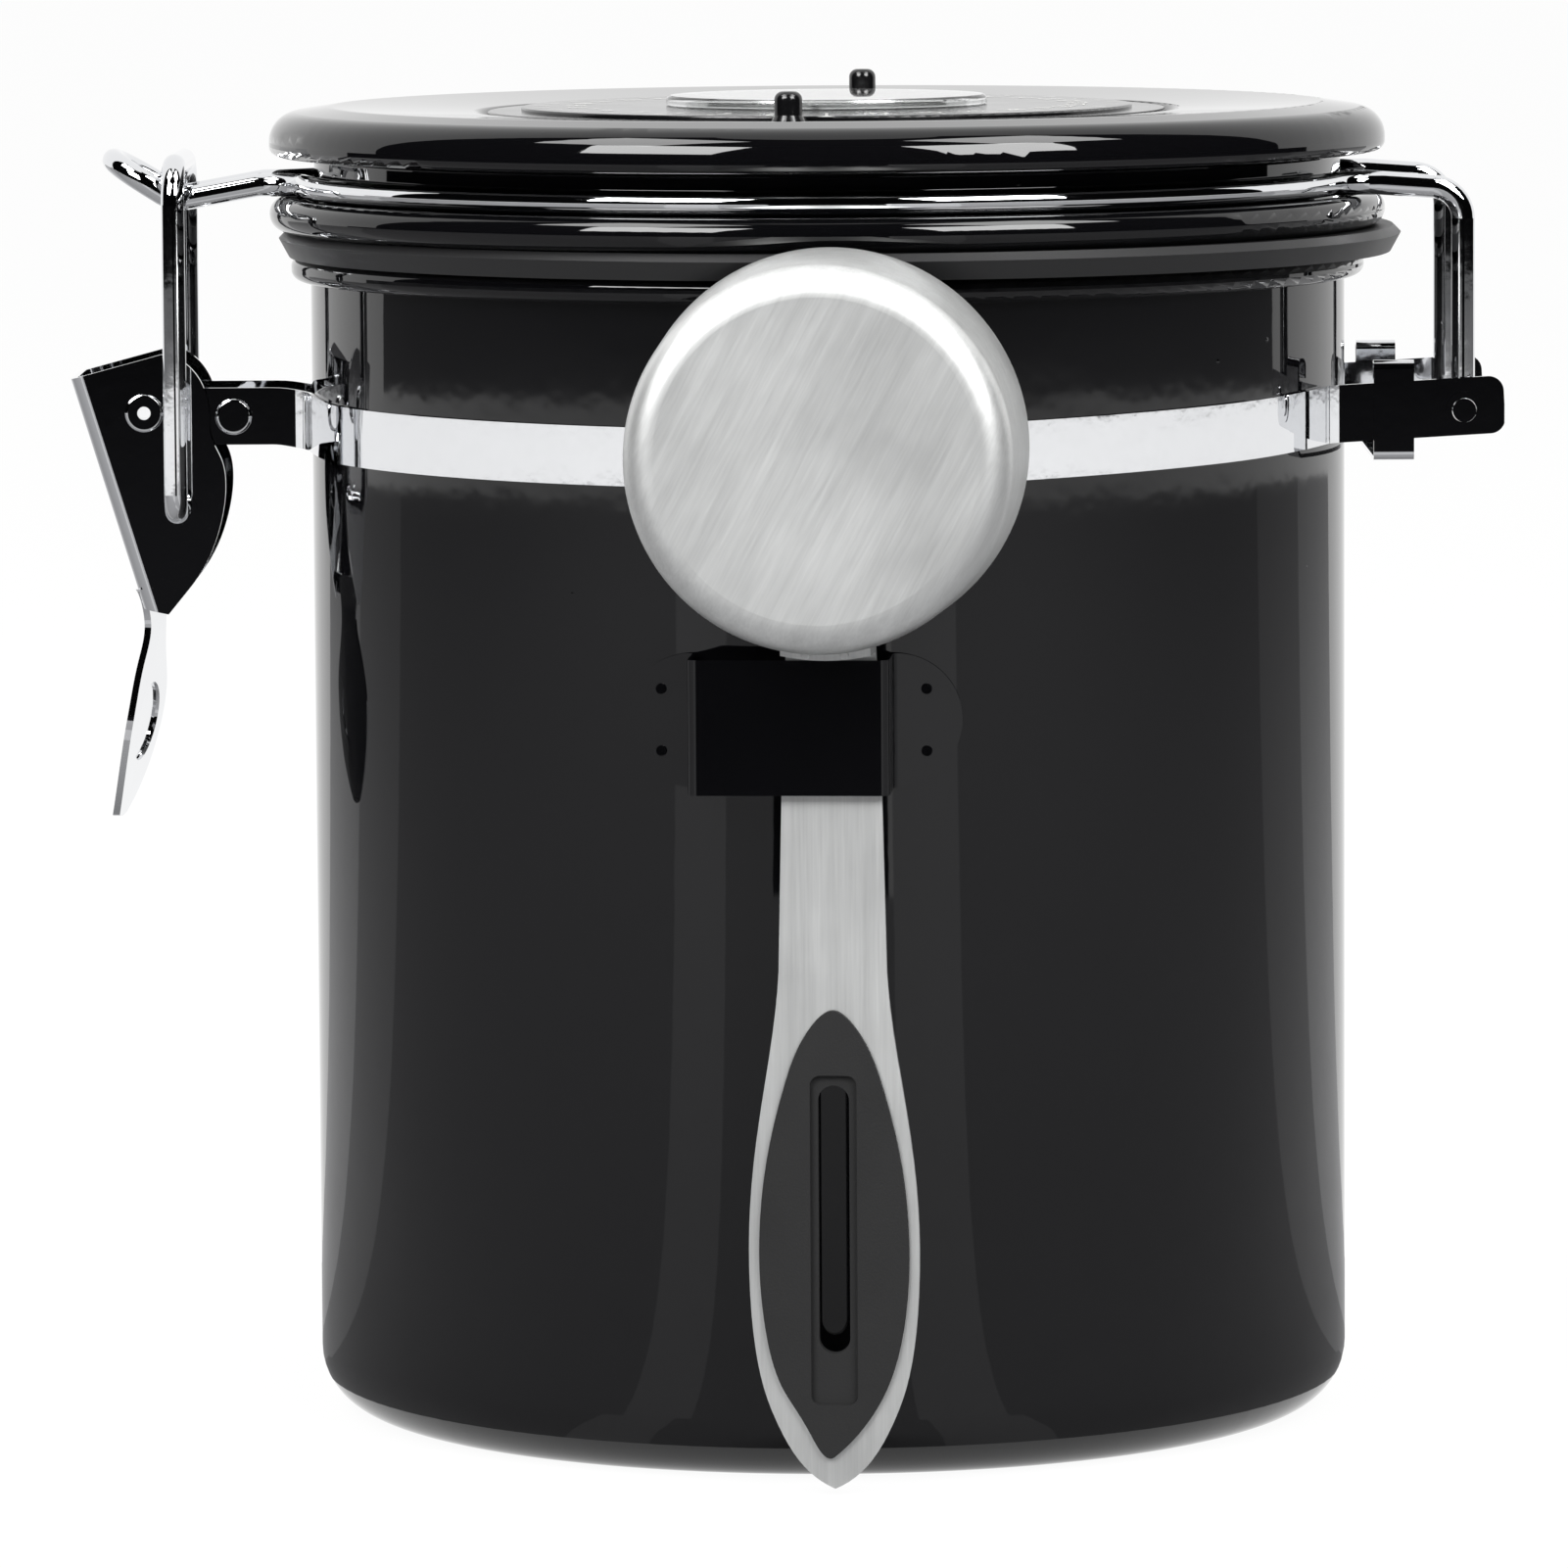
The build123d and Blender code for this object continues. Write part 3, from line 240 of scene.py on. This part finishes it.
def enamel(colour):
    """Stoved gloss enamel on steel: deep black, a mirror coat with faint orange peel and a few nibs.

    The nibs are drawn 0.6 mm wide, coarser than real dust, so that they show.
    """
    nib_spacing = 9.0
    nib_radius = 0.315
    material, tree, place = start_material("gloss_enamel")
    peel = add_node(tree, "ShaderNodeTexNoise", {"Vector": place, "Scale": per_mm(6.0), "Detail": 2.0})
    cloud = add_node(tree, "ShaderNodeTexNoise", {"Vector": place, "Scale": per_mm(28.0), "Detail": 4.0})
    dust = add_node(tree, "ShaderNodeTexVoronoi", {"Vector": place, "Scale": per_mm(nib_spacing)})
    nibs = add_node(
        tree,
        "ShaderNodeMapRange",
        {
            "Value": dust.outputs["Distance"],
            "From Max": nib_radius / nib_spacing,
            "To Min": 1.0,
            "To Max": 0.0,
        },
    )
    gloss = add_node(
        tree, "ShaderNodeMapRange", {"Value": cloud.outputs["Fac"], "To Min": 0.02, "To Max": 0.04}
    )
    peel_bump = add_node(
        tree, "ShaderNodeBump", {"Height": peel.outputs["Fac"], "Strength": 0.012, "Distance": 0.5 * MM}
    )
    nib_bump = add_node(
        tree,
        "ShaderNodeBump",
        {
            "Height": nibs.outputs["Result"],
            "Strength": 0.25,
            "Distance": 0.05 * MM,
            "Normal": peel_bump.outputs["Normal"],
        },
    )
    shader = add_node(
        tree,
        "ShaderNodeBsdfPrincipled",
        {
            "Base Color": colour_range(tree, cloud.outputs["Fac"], colour, change=0.25),
            "Roughness": gloss.outputs["Result"],
            "IOR": 1.5,
            "Normal": nib_bump.outputs["Normal"],
        },
    )
    add_node(tree, "ShaderNodeOutputMaterial", {"Surface": shader.outputs["BSDF"]})
    return material


def chrome(colour):
    """Bright chrome plate on pressed sheet and wire: mirror-like, with faint ripple and fine wipe marks.

    The wipe marks are drawn 0.9 mm wide, coarser than real ones, so that they show.
    """
    material, tree, place = start_material("chrome_plate")
    ripple = add_node(tree, "ShaderNodeTexNoise", {"Vector": place, "Scale": per_mm(3.5), "Detail": 3.0})
    wipes = add_node(tree, "ShaderNodeTexNoise", {"Vector": place, "Scale": per_mm(0.9), "Detail": 5.0})
    gloss = add_node(
        tree, "ShaderNodeMapRange", {"Value": wipes.outputs["Fac"], "To Min": 0.015, "To Max": 0.045}
    )
    bump = add_node(
        tree, "ShaderNodeBump", {"Height": ripple.outputs["Fac"], "Strength": 0.03, "Distance": 0.2 * MM}
    )
    shader = add_node(
        tree,
        "ShaderNodeBsdfPrincipled",
        {
            "Base Color": colour_range(tree, ripple.outputs["Fac"], colour, change=0.02),
            "Metallic": 1.0,
            "Roughness": gloss.outputs["Result"],
            "Normal": bump.outputs["Normal"],
        },
    )
    add_node(tree, "ShaderNodeOutputMaterial", {"Surface": shader.outputs["BSDF"]})
    return material


def brushed_steel(name, colour, grain_angle):
    """Stainless steel, linished with a belt: fine scratches one way and a soft, slightly clouded sheen.

    The scratches are drawn 0.3 mm wide in streaks of 1.6 mm, coarser than a belt's, so that they show.
    """
    scratch_share = 0.03
    least_roughness = 0.4
    material, tree, place = start_material(name)
    along = add_node(
        tree,
        "ShaderNodeMapping",
        {"Vector": place, "Rotation": (0.0, grain_angle, 0.0)},
        vector_type="TEXTURE",
    )
    drawn_out = add_node(
        tree, "ShaderNodeMapping", {"Vector": along.outputs["Vector"], "Scale": (1.0, 1.0, scratch_share)}
    ).outputs["Vector"]
    fine = add_node(tree, "ShaderNodeTexNoise", {"Vector": drawn_out, "Scale": per_mm(0.3), "Detail": 6.0})
    broad = add_node(tree, "ShaderNodeTexNoise", {"Vector": drawn_out, "Scale": per_mm(1.6), "Detail": 3.0})
    cloud = add_node(tree, "ShaderNodeTexNoise", {"Vector": place, "Scale": per_mm(14.0), "Detail": 3.0})
    both = add_node(
        tree, "ShaderNodeMath", {0: fine.outputs["Fac"], 1: broad.outputs["Fac"]}, operation="ADD"
    )
    grain = add_node(tree, "ShaderNodeMath", {0: both.outputs["Value"], 1: 0.5}, operation="MULTIPLY")
    spread = add_node(
        tree, "ShaderNodeMapRange", {"Value": grain.outputs["Value"], "To Min": 0.1, "To Max": 0.22}
    )
    clouded = add_node(
        tree, "ShaderNodeMath", {0: spread.outputs["Result"], 1: cloud.outputs["Fac"]}, operation="MULTIPLY"
    )
    sheen = add_node(
        tree, "ShaderNodeMath", {0: clouded.outputs["Value"], 1: least_roughness}, operation="ADD"
    )
    bump = add_node(
        tree, "ShaderNodeBump", {"Height": fine.outputs["Fac"], "Strength": 0.35, "Distance": 0.03 * MM}
    )
    shader = add_node(
        tree,
        "ShaderNodeBsdfPrincipled",
        {
            "Base Color": colour_range(tree, grain.outputs["Value"], colour, change=0.24),
            "Metallic": 1.0,
            "Roughness": sheen.outputs["Value"],
            "Normal": bump.outputs["Normal"],
        },
    )
    add_node(tree, "ShaderNodeOutputMaterial", {"Surface": shader.outputs["BSDF"]})
    return material


def turned_aluminium(colour):
    """Bright turned aluminium disc: fine rings round its middle that spread its highlights.

    The rings are drawn 0.9 mm apart, coarser than a lathe's, so that they show.
    """
    material, tree, place = start_material("turned_aluminium")
    rings = add_node(
        tree,
        "ShaderNodeTexWave",
        {"Vector": place, "Scale": per_mm(0.9) * WAVE_SCALE, "Distortion": 0.4, "Detail": 2.0},
        wave_type="RINGS",
        rings_direction="Z",
    )
    gloss = add_node(
        tree, "ShaderNodeMapRange", {"Value": rings.outputs["Fac"], "To Min": 0.16, "To Max": 0.28}
    )
    bump = add_node(
        tree, "ShaderNodeBump", {"Height": rings.outputs["Fac"], "Strength": 0.1, "Distance": 0.02 * MM}
    )
    shader = add_node(
        tree,
        "ShaderNodeBsdfPrincipled",
        {
            "Base Color": colour_range(tree, rings.outputs["Fac"], colour, change=0.08),
            "Metallic": 1.0,
            "Roughness": gloss.outputs["Result"],
            "Normal": bump.outputs["Normal"],
        },
    )
    add_node(tree, "ShaderNodeOutputMaterial", {"Surface": shader.outputs["BSDF"]})
    return material


def grained(name, colour, grain, roughness, change, relief, ior):
    """An even surface with a fine grain and slightly uneven gloss.

    The grain is its size in millimetres as drawn: coarser than the real one, so that it shows.
    """
    gloss_change = 0.15
    material, tree, place = start_material(name)
    skin = add_node(tree, "ShaderNodeTexNoise", {"Vector": place, "Scale": per_mm(grain), "Detail": 4.0})
    cloud = add_node(tree, "ShaderNodeTexNoise", {"Vector": place, "Scale": per_mm(9.0), "Detail": 3.0})
    gloss = add_node(
        tree,
        "ShaderNodeMapRange",
        {
            "Value": cloud.outputs["Fac"],
            "To Min": roughness * (1 - gloss_change),
            "To Max": roughness * (1 + gloss_change),
        },
    )
    bump = add_node(
        tree, "ShaderNodeBump", {"Height": skin.outputs["Fac"], "Strength": relief, "Distance": 0.05 * MM}
    )
    shader = add_node(
        tree,
        "ShaderNodeBsdfPrincipled",
        {
            "Base Color": colour_range(tree, skin.outputs["Fac"], colour, change),
            "Roughness": gloss.outputs["Result"],
            "IOR": ior,
            "Normal": bump.outputs["Normal"],
        },
    )
    add_node(tree, "ShaderNodeOutputMaterial", {"Surface": shader.outputs["BSDF"]})
    return material


def clear_acrylic(colour):
    """Clear polished acrylic: colourless, with the mould's ripple hardly visible."""
    material, tree, place = start_material("clear_acrylic")
    ripple = add_node(tree, "ShaderNodeTexNoise", {"Vector": place, "Scale": per_mm(7.0), "Detail": 1.0})
    gloss = add_node(
        tree, "ShaderNodeMapRange", {"Value": ripple.outputs["Fac"], "To Min": 0.01, "To Max": 0.04}
    )
    bump = add_node(
        tree, "ShaderNodeBump", {"Height": ripple.outputs["Fac"], "Strength": 0.04, "Distance": 0.1 * MM}
    )
    shader = add_node(
        tree,
        "ShaderNodeBsdfPrincipled",
        {
            "Base Color": colour,
            "Transmission Weight": 1.0,
            "Roughness": gloss.outputs["Result"],
            "IOR": 1.49,
            "Normal": bump.outputs["Normal"],
        },
    )
    add_node(tree, "ShaderNodeOutputMaterial", {"Surface": shader.outputs["BSDF"]})
    return material


def felt(name, colour):
    """Wool felt over a studio flag: matt, with a slightly mottled nap."""
    material, tree, place = start_material(name)
    nap = add_node(tree, "ShaderNodeTexNoise", {"Vector": place, "Scale": per_mm(25.0), "Detail": 3.0})
    shader = add_node(
        tree,
        "ShaderNodeBsdfPrincipled",
        {
            "Base Color": colour_range(tree, nap.outputs["Fac"], colour, change=0.04),
            "Roughness": 1.0,
            "Specular IOR Level": 0.0,
        },
    )
    add_node(tree, "ShaderNodeOutputMaterial", {"Surface": shader.outputs["BSDF"]})
    return material


def background_rays(tree):
    """One for rays that show the background: straight to the camera, mirrored or through glass."""
    rays = add_node(tree, "ShaderNodeLightPath").outputs
    mirrored = add_node(
        tree, "ShaderNodeMath", {0: rays["Is Camera Ray"], 1: rays["Is Glossy Ray"]}, operation="MAXIMUM"
    )
    shown = add_node(
        tree,
        "ShaderNodeMath",
        {0: mirrored.outputs["Value"], 1: rays["Is Transmission Ray"]},
        operation="MAXIMUM",
    )
    return shown.outputs["Value"]


def pale_paint(colour):
    """Matt painted table: pale and even. The camera and mirrored rays see it nearly white."""
    material, tree, place = start_material("matt_table")
    mottle = add_node(tree, "ShaderNodeTexNoise", {"Vector": place, "Scale": per_mm(60.0), "Detail": 3.0})
    paint = add_node(
        tree,
        "ShaderNodeBsdfPrincipled",
        {"Base Color": colour_range(tree, mottle.outputs["Fac"], colour, change=0.01), "Roughness": 0.8},
    )
    glow = add_node(tree, "ShaderNodeEmission", {"Color": WHITE, "Strength": BACKGROUND_STRENGTH})
    seen = add_node(tree, "ShaderNodeMath", {0: background_rays(tree), 1: TABLE_GLOW}, operation="MULTIPLY")
    blend = add_node(
        tree,
        "ShaderNodeMixShader",
        {0: seen.outputs["Value"], 1: paint.outputs["BSDF"], 2: glow.outputs["Emission"]},
    )
    add_node(tree, "ShaderNodeOutputMaterial", {"Surface": blend.outputs["Shader"]})
    return material


def dress(material, *names):
    """Give CAD nodes this material in every slot."""
    for name in names:
        for slot in NODES[name].material_slots:
            slot.material = material


def add_object(mesh_builder, name, material):
    """Turn a bmesh into an object in the scene."""
    mesh = bpy.data.meshes.new(name)
    mesh_builder.to_mesh(mesh)
    mesh_builder.free()
    mesh.materials.append(material)
    made = bpy.data.objects.new(name, mesh)
    bpy.context.scene.collection.objects.link(made)
    return made


def finish_piece(mesh_builder, name, material, body):
    """Turn a bmesh into a piece that rides on a body."""
    piece = add_object(mesh_builder, name, material)
    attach(piece, body)


def on_ring(turn, radius, height):
    """The place of a number or mark on a ring round the dial's axis, clockwise from the camera's side."""
    return Matrix.Rotation(-turn, 4, "Z") @ Matrix.Translation((0, -radius, height))


def print_numbers(sizes, height):
    """The dial's numbers, from one to the last, as flat figures."""
    numbers = bmesh.new()
    for day in range(sizes.days):
        curve = bpy.data.curves.new("day", "FONT")
        curve.body = str(day + 1)
        curve.size = sizes.number_height * FONT_SHARE
        curve.align_x = "CENTER"
        curve.align_y = "CENTER"
        curve.resolution_u = FONT_STEPS
        text = bpy.data.objects.new("day", curve)
        flat = bpy.data.meshes.new_from_object(text)
        flat.transform(on_ring(day * 2 * pi / sizes.days, sizes.number_ring, height))
        numbers.from_mesh(flat)
        bpy.data.objects.remove(text)
        bpy.data.curves.remove(curve)
        bpy.data.meshes.remove(flat)
    return numbers


def print_marks(sizes, height):
    """The dial's marks, one outside each number."""
    marks = bmesh.new()
    size = Matrix.Diagonal((sizes.tick_width, sizes.tick_length, 1, 1))
    for day in range(sizes.days):
        place = on_ring(day * 2 * pi / sizes.days, sizes.tick_ring, height)
        bmesh.ops.create_grid(marks, x_segments=1, y_segments=1, size=1 / 2, matrix=place @ size)
    return marks


def print_pointer(sizes):
    """A triangle on the lid's cover that points at the dial."""
    pointer = bmesh.new()
    reach = DIAL_BOX[1][0] + sizes.pointer_gap
    place = Matrix.Translation((0, -reach, COVER_BOX[1][2] + sizes.ink_thickness))
    size = Matrix.Diagonal((sizes.pointer_width / 2, sizes.pointer_length / 2, 1, 1))
    bmesh.ops.create_circle(pointer, cap_ends=True, segments=3, radius=1, matrix=place @ size)
    return pointer


class CANISTER_OT_enamel(bpy.types.Operator):
    """Coat the can, the lid and the scoop's holder with gloss enamel"""

    bl_idname = "canister.enamel"
    bl_label = "Enamel"

    def execute(self, context):
        coat = enamel(context.scene.canister_colours.enamel)
        dress(coat, "body_shell", "lid_base", "lid_cover", "scoop_holder")
        return {"FINISHED"}


class CANISTER_OT_chrome(bpy.types.Operator):
    """Plate the band, the wires and the latch with chrome"""

    bl_idname = "canister.chrome"
    bl_label = "Chrome"

    def execute(self, context):
        plate = chrome(context.scene.canister_colours.chrome)
        dress(plate, "band_front", "band_rear", "latch_rivet", "latch_spacer", "lever_pin", "keeper_clip")
        dress(plate, "lid_wire", "latch_lever", "latch_bail")
        return {"FINISHED"}


class CANISTER_OT_scoop(bpy.types.Operator):
    """Finish the scoop in brushed steel with a rubber inlay"""

    bl_idname = "canister.scoop"
    bl_label = "Scoop"

    def execute(self, context):
        colours = context.scene.canister_colours
        dress(brushed_steel("brushed_steel_bowl", colours.steel, BOWL_GRAIN), "scoop_bowl", "scoop_welds")
        dress(brushed_steel("brushed_steel_handle", colours.steel, HANDLE_GRAIN), "scoop_handle")
        # Moulded rubber: dull black, with a grain that breaks up what little it mirrors
        inlay = grained(
            "rubber_inlay", colours.rubber, grain=0.25, roughness=0.62, change=0.35, relief=0.35, ior=1.5
        )
        dress(inlay, "handle_inlay")
        return {"FINISHED"}


class CANISTER_OT_valve(bpy.types.Operator):
    """Finish the valve, its seals, its filter and the lens over it"""

    bl_idname = "canister.valve"
    bl_label = "Valve"

    def execute(self, context):
        colours = context.scene.canister_colours
        dress(clear_acrylic(colours.acrylic), "valve_lens")
        dress(turned_aluminium(colours.steel), "lens_plate")
        # ABS from a blasted mould: black, with a soft satin sheen
        abs_plastic = grained(
            "abs_valve", colours.plastic, grain=0.4, roughness=0.3, change=0.2, relief=0.1, ior=1.53
        )
        dress(abs_plastic, "valve_body", "valve_nut", "filter_cap")
        # Pressed filter paper: off-white and matt, with its fibres showing as a rough skin
        paper = grained(
            "filter_paper", colours.paper, grain=0.15, roughness=0.9, change=0.12, relief=0.8, ior=1.4
        )
        dress(paper, "filter_disc")
        # Moulded silicone: very dark, half matt, with a waxy bloom
        seal = grained(
            "silicone_seal", colours.silicone, grain=0.5, roughness=0.42, change=0.2, relief=0.12, ior=1.43
        )
        dress(seal, "lid_gasket", "valve_flap", "valve_washer")
        return {"FINISHED"}


class CANISTER_OT_dial(bpy.types.Operator):
    """Finish the date dial and print its numbers, its marks and the pointer beside it"""

    bl_idname = "canister.dial"
    bl_label = "Date dial"

    def execute(self, context):
        colours = context.scene.canister_colours
        sizes = context.scene.canister_sizes
        # ABS from a polished mould: glossy black with clean highlights
        gloss_plastic = grained(
            "abs_dial", colours.plastic, grain=0.5, roughness=0.16, change=0.2, relief=0.05, ior=1.53
        )
        dress(gloss_plastic, "date_dial", "dial_pegs")
        # Screen print: light grey ink, flat and half matt
        ink = grained(
            "screen_print", colours.print_ink, grain=0.2, roughness=0.5, change=0.08, relief=0.1, ior=1.5
        )
        top = DIAL_BOX[1][2] + sizes.ink_thickness
        finish_piece(print_numbers(sizes, top), "dial_numbers", ink, "dial")
        finish_piece(print_marks(sizes, top), "dial_marks", ink, "dial")
        finish_piece(print_pointer(sizes), "dial_pointer", ink, "lid")
        return {"FINISHED"}


def lay_table(width, paint):
    """A square table, flat under the canister."""
    table = bmesh.new()
    bmesh.ops.create_grid(table, x_segments=1, y_segments=1, size=width / 2)
    floor = add_object(table, "table", paint)


def light_room(scene):
    """A room that gives an even light and shows as white."""
    world = bpy.data.worlds.new("room")
    world.use_nodes = True
    scene.world = world
    tree = world.node_tree
    tree.nodes.clear()
    room = add_node(tree, "ShaderNodeBackground", {"Color": WHITE, "Strength": ROOM_STRENGTH})
    backdrop = add_node(tree, "ShaderNodeBackground", {"Color": WHITE, "Strength": BACKGROUND_STRENGTH})
    mix = add_node(
        tree,
        "ShaderNodeMixShader",
        {0: background_rays(tree), 1: room.outputs["Background"], 2: backdrop.outputs["Background"]},
    )
    add_node(tree, "ShaderNodeOutputWorld", {"Surface": mix.outputs["Shader"]})


def flag(name, material, near_spot, far_spot, start, end):
    """A sector of felt from one spot to another, which only mirrored rays see and which has no shadow."""
    sector = bmesh.new()
    spots = (near_spot, far_spot)
    corners = [sector.verts.new((0.0, -distance, height + FLAG_LIFT)) for distance, height in spots]
    edge = sector.edges.new(corners)
    bmesh.ops.rotate(sector, verts=corners, matrix=Matrix.Rotation(radians(start), 3, "Z"))
    bmesh.ops.spin(
        sector, geom=[*corners, edge], axis=(0, 0, 1), angle=radians(end - start), steps=FLAG_STEPS
    )
    card = add_object(sector, name, material)
    card.visible_camera = False
    card.visible_diffuse = False
    card.visible_transmission = False
    card.visible_shadow = False


def softbox(name, azimuth, height, distance, width, power):
    """A square studio light that faces the canister."""
    data = bpy.data.lights.new(name, "AREA")
    data.shape = "SQUARE"
    data.size = width
    data.energy = power
    light = bpy.data.objects.new(name, data)
    place = Vector((distance * sin(radians(azimuth)), -distance * cos(radians(azimuth)), height))
    aim = Vector((0.0, 0.0, SOFTBOX_AIM)) - place
    light.matrix_world = Matrix.Translation(place) @ aim.to_track_quat("-Z", "Y").to_matrix().to_4x4()
    bpy.context.scene.collection.objects.link(light)


def place_camera(stage):
    """The camera, where the photograph was taken from."""
    data = bpy.data.cameras.new("camera")
    data.sensor_width = stage.sensor
    data.lens = stage.lens
    data.clip_end = stage.camera_reach
    camera = bpy.data.objects.new("camera", data)
    look = Euler((pi / 2 - stage.pitch, 0.0, stage.yaw)).to_matrix().to_4x4()
    turn = Matrix.Rotation(-stage.roll, 4, "Z")
    place = Matrix.Translation((0.0, -stage.camera_distance, stage.camera_height))
    camera.matrix_world = place @ look @ turn
    bpy.context.scene.collection.objects.link(camera)
    bpy.context.scene.camera = camera


class CANISTER_OT_stage(bpy.types.Operator):
    """Add the table, the room's light, the flags, the softboxes and the camera"""

    bl_idname = "canister.stage"
    bl_label = "Stage"

    def execute(self, context):
        scene = context.scene
        stage = scene.canister_stage
        scene.view_settings.view_transform = "Standard"
        lay_table(stage.table_size, pale_paint(scene.canister_colours.backdrop))
        light_room(scene)
        felts = {tone: felt(tone + "_felt", linear(colour)) for tone, colour in FELTS.items()}
        for number, (tone, *edges) in enumerate(FLAGS):
            flag(f"flag_{number:02d}", felts[tone], *edges)
        for side, sign in (("left", -1), ("right", 1)):
            for name, azimuth, height, distance, width, power in SOFTBOXES:
                softbox(f"{name}_{side}", azimuth * sign, height, distance, width, power)
        place_camera(stage)
        return {"FINISHED"}


class CANISTER_PT_panel(bpy.types.Panel):
    """Lists the canister's steps, colours and sizes"""

    bl_label = "Coffee Canister"
    bl_space_type = "VIEW_3D"
    bl_region_type = "UI"
    bl_category = "Canister"

    def draw(self, context):
        layout = self.layout
        for operator in OPERATORS:
            layout.operator(operator.bl_idname)
        for group_name in GROUPS:
            group = getattr(context.scene, group_name)
            box = layout.box()
            for name in group.bl_rna.properties.keys():
                if name not in ("rna_type", "name"):
                    box.prop(group, name)


GROUPS = {
    "canister_colours": CanisterColours,
    "canister_sizes": CanisterSizes,
    "canister_stage": CanisterStage,
}
OPERATORS = (
    CANISTER_OT_enamel,
    CANISTER_OT_chrome,
    CANISTER_OT_scoop,
    CANISTER_OT_valve,
    CANISTER_OT_dial,
    CANISTER_OT_stage,
)


def register():
    """Register the property groups, the operators and the panel."""
    for name, group in GROUPS.items():
        bpy.utils.register_class(group)
        setattr(bpy.types.Scene, name, bpy.props.PointerProperty(type=group))
    for operator in OPERATORS:
        bpy.utils.register_class(operator)
    bpy.utils.register_class(CANISTER_PT_panel)


def unregister():
    """Remove what register adds."""
    bpy.utils.unregister_class(CANISTER_PT_panel)
    for operator in reversed(OPERATORS):
        bpy.utils.unregister_class(operator)
    for name, group in GROUPS.items():
        delattr(bpy.types.Scene, name)
        bpy.utils.unregister_class(group)


def main():
    """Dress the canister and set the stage."""
    register()
    bpy.ops.canister.enamel()
    bpy.ops.canister.chrome()
    bpy.ops.canister.scoop()
    bpy.ops.canister.valve()
    bpy.ops.canister.dial()
    bpy.ops.canister.stage()


if __name__ == "__main__":
    main()
